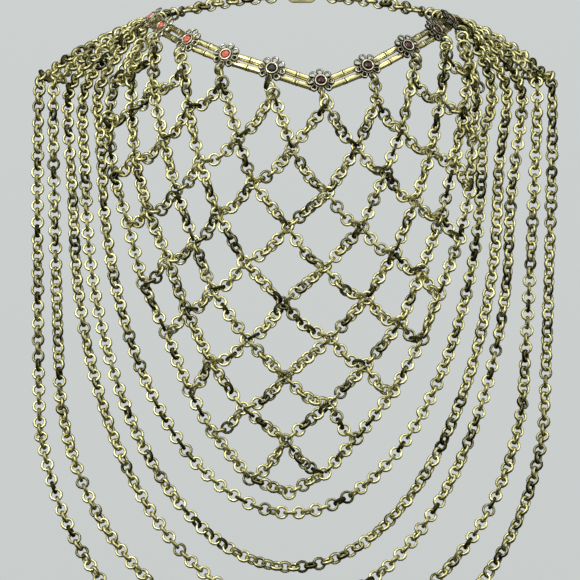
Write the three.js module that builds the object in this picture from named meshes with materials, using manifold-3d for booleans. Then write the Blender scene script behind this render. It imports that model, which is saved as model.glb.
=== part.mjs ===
// Bib necklace: a two-row collar of bamboo bars and flower spacers, a diamond net of
// cable chain that hangs from the flowers, and five long chain drapes around it.
// Millimetres, +Z up, the front faces -Y. The origin is the middle of the neck, at the
// height of the ends of the collar.
import * as THREE from "three";
import { mergeVertices } from "three/addons/utils/BufferGeometryUtils.js";
import Module from "manifold-3d";

const wasm = await Module();
wasm.setup();

const DEGREE = Math.PI / 180;
const GAP = 0.3; // clearance between pieces that touch on the real necklace

// Collar: an oval round the neck, wider than deep, that dips to the front.
const COLLAR_X = 1; // middle of the oval, across
const COLLAR_Y = 4; // middle of the oval, front to back
const COLLAR_HALF_WIDTH = 74;
const COLLAR_FRONT_REACH = 70;
const COLLAR_BACK_REACH = 58;
const NAPE_RISE = 13; // height of the nape above the ends of the collar
const FRONT_LEAN = 27 * DEGREE; // how far the flowers look upwards, at the front and at the sides
const SIDE_LEAN = 42 * DEGREE;
const FLOWER_STEP = 18.7 * DEGREE; // from one flower to the next round the oval
const LOWEST_FLOWER = 5;
const LOWEST_FLOWER_ANGLE = 7.1 * DEGREE;
const FLOWER_HEIGHTS = [-0.5, -5, -12, -19.5, -26.4, -32.6, -25, -15, -7, -1.5];
const FLOWER_COUNT = FLOWER_HEIGHTS.length;
const ROW_OFFSET = 2.2; // each row of bars lies this far from the middle of the collar

// Flower spacer
const PETALS = 8;
const PETAL_ORBIT = 5.05;
const PETAL_RADIUS = 1.98;
const PETAL_HOLE = 1.2;
const PETAL_BACK = 1.9;
const PETAL_THICKNESS = 0.8;
const PETAL_ARC_STEPS = 2;
const BACK_RADIUS = 4.0; // the disc behind the petals, drilled for the threads
const BACK_DEPTH = -1.5;
const BAR_START = 4.4; // bars start this far from the middle of a flower
const THREAD_HOLE = 0.75;
const SETTING_RADIUS = 3.25;
const SETTING_HEIGHT = 1.3;
const SEAT_RADIUS = 2.05;
const SEAT_DEPTH = 1.0;
const STONE_RADIUS = 1.75;
const STONE_TABLE = 1.05;
const STONE_HEIGHT = 1.1;
const STONE_GIRDLE = 0.35;
const STONE_SIDES = 8;

// Bamboo bars and thread
const BAR_RADIUS = 1.5;
const BAR_LIP = 1.66;
const BAR_KNUCKLE = 1.68;
const BAR_BORE = 0.8;
const THREAD_RADIUS = 0.38;
const THREAD_END = 2.4; // the thread stops inside the end flowers, this far from their middle

// Chain: round links of round wire, shown as tubes with real rings where they hook on.
const LINK_RADIUS = 2.8; // to the middle of the wire
const LINK_WIRE = 0.6;
const LINK_SIDES = 10;
const WIRE_SIDES = 5;
const NET_STRAND = 4.2; // width and depth of the net's strands
const BACK_TUBE = 2.2;
const DRAPE_TUBE = 2.4;
const HANGER_TUBE = 1.6;

// End rods, which the drapes ring round, one behind the other
const ROD_RADIUS = 1.0;
const ROD_FIRST_DRAPE = 96.5 * DEGREE;
const ROD_DRAPE_STEP = 5.9 * DEGREE;
const ROD_END = 125 * DEGREE;
const EYE_RADIUS = 2.0;
const EYE_WIRE = 0.8;

// Shape that the chest gives to the net: half-ellipses across, one row for each height
const CHEST_MIDDLE_Y = 4;
const CHEST = [
  { z: -10, halfWidth: 82, reach: 69 },
  { z: -29, halfWidth: 97, reach: 75 },
  { z: -47, halfWidth: 105, reach: 79.5 },
  { z: -77, halfWidth: 119, reach: 86 },
  { z: -110, halfWidth: 130, reach: 94 },
  { z: -160, halfWidth: 140, reach: 107 },
  { z: -210, halfWidth: 145, reach: 116 },
  { z: -260, halfWidth: 146, reach: 118 },
];

// Junctions of the net, a row of the table for each row of the net. first is the column
// that the row starts at: whole columns hang below the flowers, half columns between.
const JUNCTIONS = [
  { first: 0, x: [-80, -72.5, -58, -39, -13.5, 13.5, 38.5, 56.5, 73.5, 82.5],
    z: [-13, -14, -25, -32, -37.5, -43, -41, -29, -18, -13.5] },
  { first: 0.5, x: [-85, -74, -56, -31, -4, 29, 51, 70.5, 85],
    z: [-24, -34, -44, -60, -65.5, -64.5, -55, -39.5, -25] },
  { first: 0, x: [-93, -84.5, -68.5, -50.5, -24, 14, 43, 66, 82.5, 89.5],
    z: [-31, -45, -60.5, -71.5, -82.5, -87.5, -77, -66, -44, -34] },
  { first: 0.5, x: [-96.5, -83, -62, -41.5, -6, 31, 58, 78, 86.5],
    z: [-49, -69, -86, -97.5, -104.5, -104.5, -91, -68, -61] },
  { first: 1, x: [-94, -76.5, -53, -28, 12.5, 47.5, 71, 85],
    z: [-77, -96, -112, -122, -125, -117, -98, -87] },
  { first: 1.5, x: [-86.5, -66.5, -44, -8.5, 33.5, 61, 80],
    z: [-102, -119.5, -136, -142.5, -140, -126, -110] },
  { first: 2, x: [-78.5, -57.5, -26.5, 15.5, 50.5, 69.5],
    z: [-132.5, -145, -161, -160, -152, -138] },
  { first: 2.5, x: [-67, -45, -7.5, 33, 61], z: [-157, -171.5, -179.5, -173.5, -160.5] },
  { first: 3, x: [-55.5, -28.5, 15, 46.5], z: [-186, -195, -192.5, -186.5] },
  { first: 3.5, x: [-44, -7, 28], z: [-206.5, -211, -210] },
  { first: 4, x: [-25, 12], z: [-230, -227.5] },
];
const NET_TIP = { x: -5.5, z: -237 };
const MIDDLE_COLUMN = 4.5;
const SLACK = { middle: 3.5, side: 6.5 }; // how far a strand that runs outwards sags
const STEEPEST_SLACK = 0.35; // the most that it sags, as a share of its run across
const SLACK_SHOWN = 2;
const SHARPEST_CORNER = 0.5; // cosine of the most that a corner of the net's edge is mitred

// Drapes: each one leaves the rod, crosses the shoulder, falls, and swings to the front in
// a half-ellipse. The tables give the innermost and outermost run over the shoulder.
const DRAPES = [
  { halfWidth: 96, bottom: -247, swing: 187 },
  { halfWidth: 104, bottom: -274, swing: 200 },
  { halfWidth: 110, bottom: -294, swing: 205 },
  { halfWidth: 117, bottom: -310, swing: 140 },
  { halfWidth: 127, bottom: -330, swing: 145 },
];
const DRAPE_X = -4; // middle of the half-ellipses
const DRAPE_FRONT = -118;
const DRAPE_SIDE = { inner: -38, outer: -46 };
const INNER_SHOULDER = [
  { left: -82, right: 84, y: 9.5, z: -4 },
  { left: -88.5, right: 89, y: 3, z: -13 },
  { left: -94.5, right: 93, y: -6, z: -22 },
  { left: -99.5, right: 96, y: -15, z: -31 },
  { left: -102, right: 96.5, y: -25, z: -43 },
];
const OUTER_SHOULDER = [
  { left: -84, right: 86, y: 33, z: -2.5 },
  { left: -99, right: 100, y: 29, z: -9.5 },
  { left: -114, right: 112, y: 21, z: -17.5 },
  { left: -126, right: 122, y: 4, z: -28 },
  { left: -131.5, right: 127, y: -17, z: -44 },
];
const SWING_STEPS = 7; // tube sections in each half of a drape's swing

// Back chains and clasp
const BACK_STEPS = 7;
const CLASP_LENGTH = 15;
const CLASP_HEIGHT = 7;
const CLASP_THICKNESS = 1.6;
const CLASP_HOLE = 1.6;

const brass = new THREE.MeshStandardMaterial({ color: 0xb5a04c, roughness: 0.35, metalness: 1 });
const barBrass = new THREE.MeshStandardMaterial({ color: 0xc4ad55, roughness: 0.3, metalness: 1 });
const darkBrass = new THREE.MeshStandardMaterial({ color: 0x5a4a40, roughness: 0.45, metalness: 1 });
const orangeGlass = new THREE.MeshStandardMaterial({ color: 0xc03418, roughness: 0.1, metalness: 0 });
const garnetGlass = new THREE.MeshStandardMaterial({ color: 0x4a1418, roughness: 0.1, metalness: 0 });
const threadBrown = new THREE.MeshStandardMaterial({ color: 0x6b3a26, roughness: 0.9, metalness: 0 });

// A route with one tube section at each of its points, however far apart these are.
class Route extends THREE.Curve {
  constructor(points) {
    super();
    this.points = points;
  }

  getPoint(t, target = new THREE.Vector3()) {
    const spans = this.points.length - 1;
    const place = THREE.MathUtils.clamp(t, 0, 1) * spans;
    const span = Math.min(Math.floor(place), spans - 1);
    return target.lerpVectors(this.points[span], this.points[span + 1], place - span);
  }

  getUtoTmapping(u) {
    return u;
  }
}

function circlePoints(radius, sides) {
  const turn = (2 * Math.PI) / sides;
  return Array.from({ length: sides }, (_, i) => {
    return new THREE.Vector2(radius * Math.cos(i * turn), radius * Math.sin(i * turn));
  });
}

function tube(points, radius, sides) {
  return new THREE.ExtrudeGeometry(new THREE.Shape(circlePoints(radius, sides)), {
    steps: points.length - 1,
    extrudePath: new Route(points),
  });
}

// A ring of wire round a centre, with its axis along the given direction.
function ring(centre, axis, radius, wire) {
  const turn = new THREE.Quaternion().setFromUnitVectors(new THREE.Vector3(0, 0, 1), axis);
  return new THREE.TorusGeometry(radius, wire, WIRE_SIDES, LINK_SIDES)
    .applyQuaternion(turn)
    .translate(centre.x, centre.y, centre.z);
}

// The closed solid of a geometry, facing outwards.
function solid(geometry) {
  geometry.deleteAttribute("normal");
  geometry.deleteAttribute("uv");
  const merged = mergeVertices(geometry, 1e-4);
  const build = (triVerts) => {
    const vertProperties = merged.attributes.position.array;
    return new wasm.Manifold(new wasm.Mesh({ numProp: 3, vertProperties, triVerts }));
  };
  const triVerts = new Uint32Array(merged.index.array);
  const made = build(triVerts);
  return made.volume() < 0 ? build(triVerts.reverse()) : made;
}

function join(geometries) {
  return geometries.map(solid).reduce((whole, piece) => whole.add(piece));
}

function namedMesh(name, body, material) {
  const mesh = body.getMesh();
  const geometry = new THREE.BufferGeometry();
  geometry.setAttribute("position", new THREE.BufferAttribute(mesh.vertProperties, 3));
  geometry.setIndex(new THREE.BufferAttribute(mesh.triVerts, 1));
  const made = new THREE.Mesh(geometry, material);
  made.name = name;
  return made;
}

// A point of the collar's oval. The angle is 0 at the front, 180 degrees at the nape.
function collarPoint(angle, height) {
  const reach = Math.cos(angle) > 0 ? COLLAR_FRONT_REACH : COLLAR_BACK_REACH;
  const x = COLLAR_X + COLLAR_HALF_WIDTH * Math.sin(angle);
  return new THREE.Vector3(x, COLLAR_Y - reach * Math.cos(angle), height);
}

// The back of the collar rises from its ends to the nape.
function backPoint(side, angle) {
  const share = (angle / DEGREE - 86) / 94;
  return collarPoint(side * angle, NAPE_RISE * Math.sin(share * 90 * DEGREE) ** 2);
}

function flowerAngle(index) {
  return LOWEST_FLOWER_ANGLE + (index - LOWEST_FLOWER) * FLOWER_STEP;
}

// Each flower's own frame: across runs along the collar, out faces away from the neck.
function flowerFrame(index) {
  const angle = flowerAngle(index);
  const centre = collarPoint(angle, FLOWER_HEIGHTS[index]);
  const before = Math.max(index - 1, 0);
  const after = Math.min(index + 1, FLOWER_COUNT - 1);
  const across = collarPoint(flowerAngle(after), FLOWER_HEIGHTS[after])
    .sub(collarPoint(flowerAngle(before), FLOWER_HEIGHTS[before]))
    .setZ(0)
    .normalize();
  if (index === 0 || index === FLOWER_COUNT - 1) {
    across.set(Math.cos(angle) * COLLAR_HALF_WIDTH, Math.sin(angle) * COLLAR_FRONT_REACH, 0);
    across.normalize();
  }
  const level = new THREE.Vector3(across.y, -across.x, 0);
  const slope = (FLOWER_HEIGHTS[after] - FLOWER_HEIGHTS[before]) / ((after - before) * 25);
  across.setZ(slope).normalize();
  const lean = THREE.MathUtils.lerp(FRONT_LEAN, SIDE_LEAN, Math.sin(angle) ** 2);
  const out = level.multiplyScalar(Math.cos(lean)).setZ(Math.sin(lean));
  const up = new THREE.Vector3().crossVectors(out, across).normalize();
  out.crossVectors(across, up);
  return { centre, across, up, out };
}

// A place in a flower's frame, as a point of the necklace.
function onFlower(frame, across, up, out) {
  return frame.centre.clone()
    .addScaledVector(frame.across, across)
    .addScaledVector(frame.up, up)
    .addScaledVector(frame.out, out);
}

// Eight pierced petals whose round ends make a scalloped edge.
function petalPlate() {
  const outline = new THREE.Shape();
  const step = (2 * Math.PI) / PETALS;
  const bulge = Math.acos((PETAL_ORBIT / PETAL_RADIUS) * Math.sin(step / 2)) + Math.PI / 2 - step / 2;
  for (let petal = 0; petal < PETALS; petal += 1) {
    const angle = petal * step - Math.PI / 2;
    const x = PETAL_ORBIT * Math.cos(angle);
    const y = PETAL_ORBIT * Math.sin(angle);
    for (let part = 0; part < PETAL_ARC_STEPS; part += 1) {
      const round = angle - bulge + (2 * bulge * part) / PETAL_ARC_STEPS;
      const rim = new THREE.Vector2(x + PETAL_RADIUS * Math.cos(round), y + PETAL_RADIUS * Math.sin(round));
      if (petal + part) outline.lineTo(rim.x, rim.y);
      else outline.moveTo(rim.x, rim.y);
    }
    const hole = circlePoints(PETAL_HOLE, 5).map((p) => p.rotateAround(new THREE.Vector2(), angle));
    outline.holes.push(new THREE.Path(hole.map((p) => p.add(new THREE.Vector2(x, y)))));
  }
  return new THREE.ExtrudeGeometry(outline, { depth: PETAL_THICKNESS, bevelEnabled: false })
    .translate(0, 0, PETAL_BACK);
}

// The raised ring that holds the stone. It is turned on the out axis.
function setting() {
  const back = PETAL_BACK + PETAL_THICKNESS / 2;
  const front = PETAL_BACK + PETAL_THICKNESS;
  const profile = [
    [0, back],
    [SETTING_RADIUS, back],
    [SETTING_RADIUS, front + 0.4],
    [(SETTING_RADIUS + SEAT_RADIUS) / 2, front + SETTING_HEIGHT],
    [SEAT_RADIUS, front + SETTING_HEIGHT - 0.2],
    [SEAT_RADIUS, front + SETTING_HEIGHT - 0.2 - SEAT_DEPTH],
    [0, front + SETTING_HEIGHT - 0.2 - SEAT_DEPTH],
  ];
  const points = profile.map(([radius, height]) => new THREE.Vector2(radius, height));
  return new THREE.LatheGeometry(points, LINK_SIDES).rotateX(Math.PI / 2);
}

// The disc behind the petals, with a hole for each thread.
function backDisc() {
  const depth = PETAL_BACK + PETAL_THICKNESS / 2 - BACK_DEPTH;
  const disc = new THREE.CylinderGeometry(BACK_RADIUS, BACK_RADIUS, depth, LINK_SIDES)
    .rotateX(Math.PI / 2)
    .translate(0, 0, BACK_DEPTH + depth / 2);
  const holes = [-1, 1].map((row) => {
    return new THREE.CylinderGeometry(THREAD_HOLE, THREAD_HOLE, 3 * BACK_RADIUS, 6)
      .rotateZ(Math.PI / 2)
      .translate(0, row * ROW_OFFSET, 0);
  });
  return holes.reduce((whole, hole) => whole.subtract(solid(hole)), solid(disc));
}

// The rod that carries the drapes, from the end flower back along the collar, to its eye.
function endRod(side, frame) {
  const angles = [92, 98, 105, 112, 119].map((angle) => angle * DEGREE);
  const end = backPoint(side, ROD_END);
  const inward = backPoint(side, ROD_END - 4 * DEGREE).sub(end).normalize();
  const points = [
    onFlower(frame, side * (BACK_RADIUS - 1), 0, 0),
    ...angles.map((angle) => backPoint(side, angle)),
    end.clone().addScaledVector(inward, EYE_RADIUS),
  ];
  const eyeAxis = new THREE.Vector3(inward.y, -inward.x, 0).normalize();
  return [tube(points, ROD_RADIUS, 6), ring(end, eyeAxis, EYE_RADIUS, EYE_WIRE)];
}

function flower(index) {
  const frame = flowerFrame(index);
  const place = new THREE.Matrix4().makeBasis(frame.across, frame.up, frame.out).setPosition(frame.centre);
  let body = backDisc().add(solid(petalPlate())).add(solid(setting()));
  const side = index === 0 ? -1 : 1;
  if (index === 0 || index === FLOWER_COUNT - 1) {
    const home = place.clone().invert();
    for (const piece of endRod(side, frame)) body = body.add(solid(piece.applyMatrix4(home)));
  }
  const made = namedMesh(`flower_${index + 1}`, body, darkBrass);
  made.position.copy(frame.centre);
  made.quaternion.setFromRotationMatrix(place);
  return made;
}

// A round cut stone: a pointed back, a girdle, eight crown facets and a flat table.
function stone(index) {
  const frame = flowerFrame(index);
  const seat = PETAL_BACK + PETAL_THICKNESS + SETTING_HEIGHT - 0.2 - SEAT_DEPTH + GAP;
  const profile = [
    [0, 0],
    [STONE_RADIUS, STONE_GIRDLE],
    [STONE_RADIUS, STONE_GIRDLE + 0.2],
    [STONE_TABLE, STONE_HEIGHT],
    [0, STONE_HEIGHT],
  ].map(([radius, height]) => new THREE.Vector2(radius, height));
  const cut = new THREE.LatheGeometry(profile, STONE_SIDES).rotateX(Math.PI / 2);
  const place = new THREE.Matrix4().makeBasis(frame.across, frame.up, frame.out);
  const made = namedMesh(`stone_${index + 1}`, solid(cut), index < 4 ? orangeGlass : garnetGlass);
  made.position.copy(onFlower(frame, 0, 0, seat));
  made.quaternion.setFromRotationMatrix(place);
  return made;
}

// A drilled bar from one flower to the next, with a lip at each end and a knuckle midway.
function bar(index, row) {
  const start = onFlower(flowerFrame(index), BAR_START, row * ROW_OFFSET, 0);
  const end = onFlower(flowerFrame(index + 1), -BAR_START, row * ROW_OFFSET, 0);
  const length = start.distanceTo(end);
  const profile = [
    [BAR_BORE, 0],
    [BAR_LIP, 0],
    [BAR_RADIUS, length * 0.12],
    [BAR_KNUCKLE, length * 0.5],
    [BAR_RADIUS, length * 0.88],
    [BAR_LIP, length],
    [BAR_BORE, length],
    [BAR_BORE, 0],
  ].map(([radius, height]) => new THREE.Vector2(radius, height));
  const name = `bar_${row > 0 ? "upper" : "lower"}_${index + 1}`;
  const made = namedMesh(name, solid(new THREE.LatheGeometry(profile, 8)), barBrass);
  made.position.copy(start);
  made.quaternion.setFromUnitVectors(new THREE.Vector3(0, 1, 0), end.sub(start).normalize());
  return made;
}

function thread(row) {
  const points = [];
  for (let index = 0; index < FLOWER_COUNT; index += 1) {
    const frame = flowerFrame(index);
    for (const side of [-1, 1]) {
      const outermost = index === (side < 0 ? 0 : FLOWER_COUNT - 1);
      points.push(onFlower(frame, side * (outermost ? THREAD_END : BAR_START), row * ROW_OFFSET, 0));
    }
  }
  const name = `thread_${row > 0 ? "upper" : "lower"}`;
  return namedMesh(name, solid(tube(points, THREAD_RADIUS, 4)), threadBrown);
}

// The front of the chest at a place across and a height.
function chestPoint(x, z) {
  const below = Math.max(CHEST.findIndex((row) => row.z <= z), 1);
  const lower = CHEST[below];
  const upper = CHEST[below - 1];
  const share = THREE.MathUtils.clamp((upper.z - z) / (upper.z - lower.z), 0, 1);
  const halfWidth = THREE.MathUtils.lerp(upper.halfWidth, lower.halfWidth, share);
  const reach = THREE.MathUtils.lerp(upper.reach, lower.reach, share);
  const across = Math.min(Math.abs(x) / halfWidth, 1);
  return new THREE.Vector3(x, CHEST_MIDDLE_Y - reach * Math.sqrt(1 - across * across), z);
}

// A junction of the net as seen from the front: across and height.
function junction(row, column) {
  const place = column - JUNCTIONS[row].first;
  return new THREE.Vector2(JUNCTIONS[row].x[place], JUNCTIONS[row].z[place]);
}

function hasJunction(row, column) {
  if (row >= JUNCTIONS.length) return false;
  const place = column - JUNCTIONS[row].first;
  return place >= 0 && place < JUNCTIONS[row].x.length;
}

// One strand of the net, from a junction to the next one down or up. A strand that runs
// outwards on its way down sags, and one with little sag is straight.
function strand(from, to) {
  const [upper, lower] = from[0] < to[0] ? [from, to] : [to, from];
  const outward = Math.sign(lower[1] - upper[1]) === Math.sign((upper[1] + lower[1]) / 2 - MIDDLE_COLUMN);
  const start = junction(...from);
  const end = junction(...to);
  const aside = Math.abs(upper[1] - MIDDLE_COLUMN) / MIDDLE_COLUMN;
  const slack = THREE.MathUtils.lerp(SLACK.middle, SLACK.side, aside);
  const sag = Math.min(slack, STEEPEST_SLACK * Math.abs(end.x - start.x));
  if (!outward || sag < SLACK_SHOWN) return [start];
  return [start, new THREE.Vector2((start.x + end.x) / 2, (start.y + end.y) / 2 - sag)];
}

// The middle line of the strands round a list of junctions.
function loopOf(corners) {
  return corners.flatMap((corner, i) => strand(corner, corners[(i + 1) % corners.length]));
}

// A loop of points moved sideways, to the left of the way that it runs.
function offsetLoop(points, distance) {
  return points.map((point, i) => {
    const before = point.clone().sub(points.at(i - 1)).normalize();
    const after = points[(i + 1) % points.length].clone().sub(point).normalize();
    const side = new THREE.Vector2(-before.y - after.y, before.x + after.x).normalize();
    const spread = Math.max(side.dot(new THREE.Vector2(-before.y, before.x)), SHARPEST_CORNER);
    return side.multiplyScalar(distance / spread).add(point);
  });
}

// The gaps of the net: a diamond below each junction that has one, and a triangle beside
// the first and last flowers.
function netGaps() {
  const gaps = [];
  JUNCTIONS.forEach((line, row) => {
    line.x.forEach((_, place) => {
      const column = line.first + place;
      const below = [[row + 1, column - 0.5], [row + 2, column], [row + 1, column + 0.5]];
      if (below.every(([r, c]) => hasJunction(r, c))) gaps.push(loopOf([[row, column], ...below]));
    });
  });
  const last = FLOWER_COUNT - 1;
  gaps.push(loopOf([[0, 0], [2, 0], [1, 0.5]]));
  gaps.push(loopOf([[0, last], [1, last - 0.5], [2, last]]));
  const low = JUNCTIONS.length - 1;
  const first = JUNCTIONS[low].first;
  const tip = new THREE.Vector2(NET_TIP.x, NET_TIP.z);
  gaps.push([junction(low - 1, first + 0.5), junction(low, first), tip, junction(low, first + 1)]);
  return gaps;
}

// The edge of the net, down its left side and up its right side, then along the flowers.
function netEdge() {
  const left = [];
  const right = [];
  JUNCTIONS.forEach((line, row) => {
    if (row === 1) return;
    left.push([row, line.first]);
    right.unshift([row, line.first + line.x.length - 1]);
  });
  const top = [];
  for (let column = FLOWER_COUNT - 1.5; column > 0; column -= 0.5) {
    top.push([column % 1 ? 1 : 0, column]);
  }
  const corners = [...left, ...right, ...top];
  const loop = loopOf(corners);
  const low = junction(...left.at(-1));
  loop.splice(loop.findIndex((point) => point.equals(low)) + 1, 0, new THREE.Vector2(NET_TIP.x, NET_TIP.z));
  return loop;
}

// The net is drawn flat from the front, cut through, and then laid on the chest. A point of
// its outline lies as far forward as the middle of its strand does.
function netSheet() {
  const middles = new Map();
  const keyOf = (x, z) => `${Math.fround(x)} ${Math.fround(z)}`;
  const outline = (loop, distance) => {
    const moved = offsetLoop(loop, distance);
    moved.forEach((point, i) => middles.set(keyOf(point.x, point.y), loop[i]));
    return moved;
  };
  const shape = new THREE.Shape(outline(netEdge(), -NET_STRAND / 2));
  shape.holes = netGaps().map((gap) => new THREE.Path(outline(gap, NET_STRAND / 2)));
  const sheet = new THREE.ExtrudeGeometry(shape, { depth: NET_STRAND, bevelEnabled: false });
  const place = sheet.attributes.position;
  for (let i = 0; i < place.count; i += 1) {
    const forward = place.getZ(i) - NET_STRAND / 2;
    const middle = middles.get(keyOf(place.getX(i), place.getY(i)));
    place.setXYZ(i, place.getX(i), chestPoint(middle.x, middle.y).y - forward, place.getY(i));
  }
  return sheet;
}

// The link that hangs edge-on through a flower's lowest petal, and what joins it to the net.
function hanger(index) {
  const frame = flowerFrame(index);
  const out = PETAL_BACK + PETAL_THICKNESS / 2;
  const centre = onFlower(frame, 0, -PETAL_ORBIT - LINK_RADIUS, out);
  const foot = onFlower(frame, 0, -PETAL_ORBIT - 2 * LINK_RADIUS, out);
  const top = junction(0, index);
  const link = ring(centre, frame.across, LINK_RADIUS, LINK_WIRE);
  return [link, tube([foot, chestPoint(top.x, top.y)], HANGER_TUBE, 6)];
}

function net() {
  const pieces = [netSheet()];
  for (let index = 0; index < FLOWER_COUNT; index += 1) pieces.push(...hanger(index));
  return namedMesh("chain_net", join(pieces), brass);
}

// Half of a drape, from the rod to its lowest point. share is 0 for the innermost drape
// and 1 for the outermost, side is -1 or 1.
function drapeHalf(index, side) {
  const drape = DRAPES[index];
  const share = index / (DRAPES.length - 1);
  const name = side < 0 ? "left" : "right";
  const points = INNER_SHOULDER.map((inner, step) => {
    const outer = OUTER_SHOULDER[step];
    return new THREE.Vector3(inner[name], inner.y, inner.z)
      .lerp(new THREE.Vector3(outer[name], outer.y, outer.z), share);
  });
  const top = drape.bottom + drape.swing;
  const sideY = THREE.MathUtils.lerp(DRAPE_SIDE.inner, DRAPE_SIDE.outer, share);
  for (let step = 0; step <= SWING_STEPS; step += 1) {
    const angle = (step / SWING_STEPS) * 90 * DEGREE;
    const x = DRAPE_X + side * drape.halfWidth * Math.cos(angle);
    const y = sideY + (DRAPE_FRONT - sideY) * Math.sin(angle);
    points.push(new THREE.Vector3(x, y, top - drape.swing * Math.sin(angle)));
  }
  return points;
}

// The link of a drape round its rod, and the place on the link where the chain begins.
function rodLink(index, side, towards) {
  const angle = ROD_FIRST_DRAPE + index * ROD_DRAPE_STEP;
  const onRod = backPoint(side, angle);
  const axis = backPoint(side, angle + DEGREE).sub(onRod).normalize();
  const away = towards.clone().sub(onRod).projectOnPlane(axis).normalize();
  const centre = onRod.clone().addScaledVector(away, LINK_RADIUS - LINK_WIRE - ROD_RADIUS - GAP);
  const start = centre.clone().addScaledVector(away, LINK_RADIUS);
  return { link: ring(centre, axis, LINK_RADIUS, LINK_WIRE), start };
}

function drape(index) {
  const left = drapeHalf(index, -1);
  const right = drapeHalf(index, 1);
  const leftLink = rodLink(index, -1, left[0]);
  const rightLink = rodLink(index, 1, right[0]);
  const points = [leftLink.start, ...left, ...right.slice(0, -1).reverse(), rightLink.start];
  const body = join([tube(points, DRAPE_TUBE, 8), leftLink.link, rightLink.link]);
  return namedMesh(`chain_drape_${index + 1}`, body, brass);
}

// A chain from the eye of the rod to the clasp, with a real link at each end.
function backChain(side) {
  const claspHole = backPoint(side, Math.PI).add(new THREE.Vector3(side * (CLASP_LENGTH / 2 - 3), 0, 0));
  const eye = backPoint(side, ROD_END);
  const first = backPoint(side, ROD_END + 5 * DEGREE);
  const from = first.clone().sub(eye).normalize();
  const firstCentre = eye.clone().addScaledVector(from, LINK_RADIUS);
  const lastCentre = claspHole.clone().add(new THREE.Vector3(side * LINK_RADIUS, 0, 0));
  const points = [firstCentre.clone().addScaledVector(from, LINK_RADIUS)];
  for (let step = 2; step < BACK_STEPS; step += 1) {
    points.push(backPoint(side, ROD_END + (step / BACK_STEPS) * (176 * DEGREE - ROD_END)));
  }
  points.push(lastCentre.clone().add(new THREE.Vector3(side * LINK_RADIUS, 0, 0)));
  const up = new THREE.Vector3(0, 0, 1);
  const flat = new THREE.Vector3().crossVectors(from, up).normalize().cross(from).normalize();
  const pieces = [
    tube(points, BACK_TUBE, 8),
    ring(firstCentre, flat, LINK_RADIUS, LINK_WIRE),
    ring(lastCentre, up, LINK_RADIUS, LINK_WIRE),
  ];
  return namedMesh(`back_chain_${side < 0 ? "left" : "right"}`, join(pieces), brass);
}

// A plain oval clasp with a hole at each end.
function clasp() {
  const outline = new THREE.Shape();
  const straight = (CLASP_LENGTH - CLASP_HEIGHT) / 2;
  outline.absarc(straight, 0, CLASP_HEIGHT / 2, -Math.PI / 2, Math.PI / 2);
  outline.absarc(-straight, 0, CLASP_HEIGHT / 2, Math.PI / 2, 1.5 * Math.PI);
  for (const side of [-1, 1]) {
    const hole = circlePoints(CLASP_HOLE, LINK_SIDES);
    const aside = new THREE.Vector2(side * (CLASP_LENGTH / 2 - 3), 0);
    outline.holes.push(new THREE.Path(hole.map((p) => p.add(aside))));
  }
  const plate = new THREE.ExtrudeGeometry(outline, {
    depth: CLASP_THICKNESS,
    bevelEnabled: false,
    curveSegments: 6,
  });
  const made = namedMesh("clasp", solid(plate.translate(0, 0, -CLASP_THICKNESS / 2)), brass);
  made.rotation.x = Math.PI / 2;
  made.position.copy(backPoint(1, Math.PI));
  return made;
}

const necklace = new THREE.Group();
for (let index = 0; index < FLOWER_COUNT; index += 1) {
  necklace.add(flower(index), stone(index));
}
for (let index = 0; index < FLOWER_COUNT - 1; index += 1) {
  necklace.add(bar(index, 1), bar(index, -1));
}
necklace.add(thread(1), thread(-1), net());
for (let index = 0; index < DRAPES.length; index += 1) necklace.add(drape(index));
necklace.add(backChain(-1), backChain(1), clasp());

export default necklace;
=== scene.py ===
"""Bib necklace of tarnished brass: bamboo bars and flowers, a net and drapes of chain."""

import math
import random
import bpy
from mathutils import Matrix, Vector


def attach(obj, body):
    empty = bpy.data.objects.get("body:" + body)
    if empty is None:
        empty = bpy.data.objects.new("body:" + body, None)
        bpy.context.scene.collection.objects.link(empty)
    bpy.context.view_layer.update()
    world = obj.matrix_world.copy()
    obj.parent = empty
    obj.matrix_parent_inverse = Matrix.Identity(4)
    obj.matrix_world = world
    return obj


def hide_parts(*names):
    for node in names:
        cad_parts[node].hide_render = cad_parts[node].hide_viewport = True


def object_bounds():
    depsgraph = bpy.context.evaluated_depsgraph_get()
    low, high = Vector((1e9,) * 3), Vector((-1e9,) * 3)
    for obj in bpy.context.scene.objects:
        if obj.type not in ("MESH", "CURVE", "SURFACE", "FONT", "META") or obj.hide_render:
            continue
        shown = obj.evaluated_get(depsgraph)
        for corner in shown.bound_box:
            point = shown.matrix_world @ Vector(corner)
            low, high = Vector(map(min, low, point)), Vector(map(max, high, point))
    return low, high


bl_info = {
    "name": "Bib Necklace",
    "version": (1, 0, 0),
    "blender": (4, 5, 0),
    "location": "View3D > Sidebar > Necklace",
    "description": "Makes the finish of a brass bib necklace around its fixed frame",
    "category": "Object",
}

import bmesh
import bpy
import numpy as np
from mathutils import Matrix, Quaternion, Vector

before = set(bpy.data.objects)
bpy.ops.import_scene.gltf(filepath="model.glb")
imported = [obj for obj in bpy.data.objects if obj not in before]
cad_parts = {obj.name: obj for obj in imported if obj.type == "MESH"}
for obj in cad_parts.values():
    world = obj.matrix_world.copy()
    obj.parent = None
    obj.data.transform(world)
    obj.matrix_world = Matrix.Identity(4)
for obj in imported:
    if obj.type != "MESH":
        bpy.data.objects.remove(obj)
FRAME_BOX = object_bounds()
LOW, HIGH = FRAME_BOX

MM = 0.001
DEGREE = math.pi / 180

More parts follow.
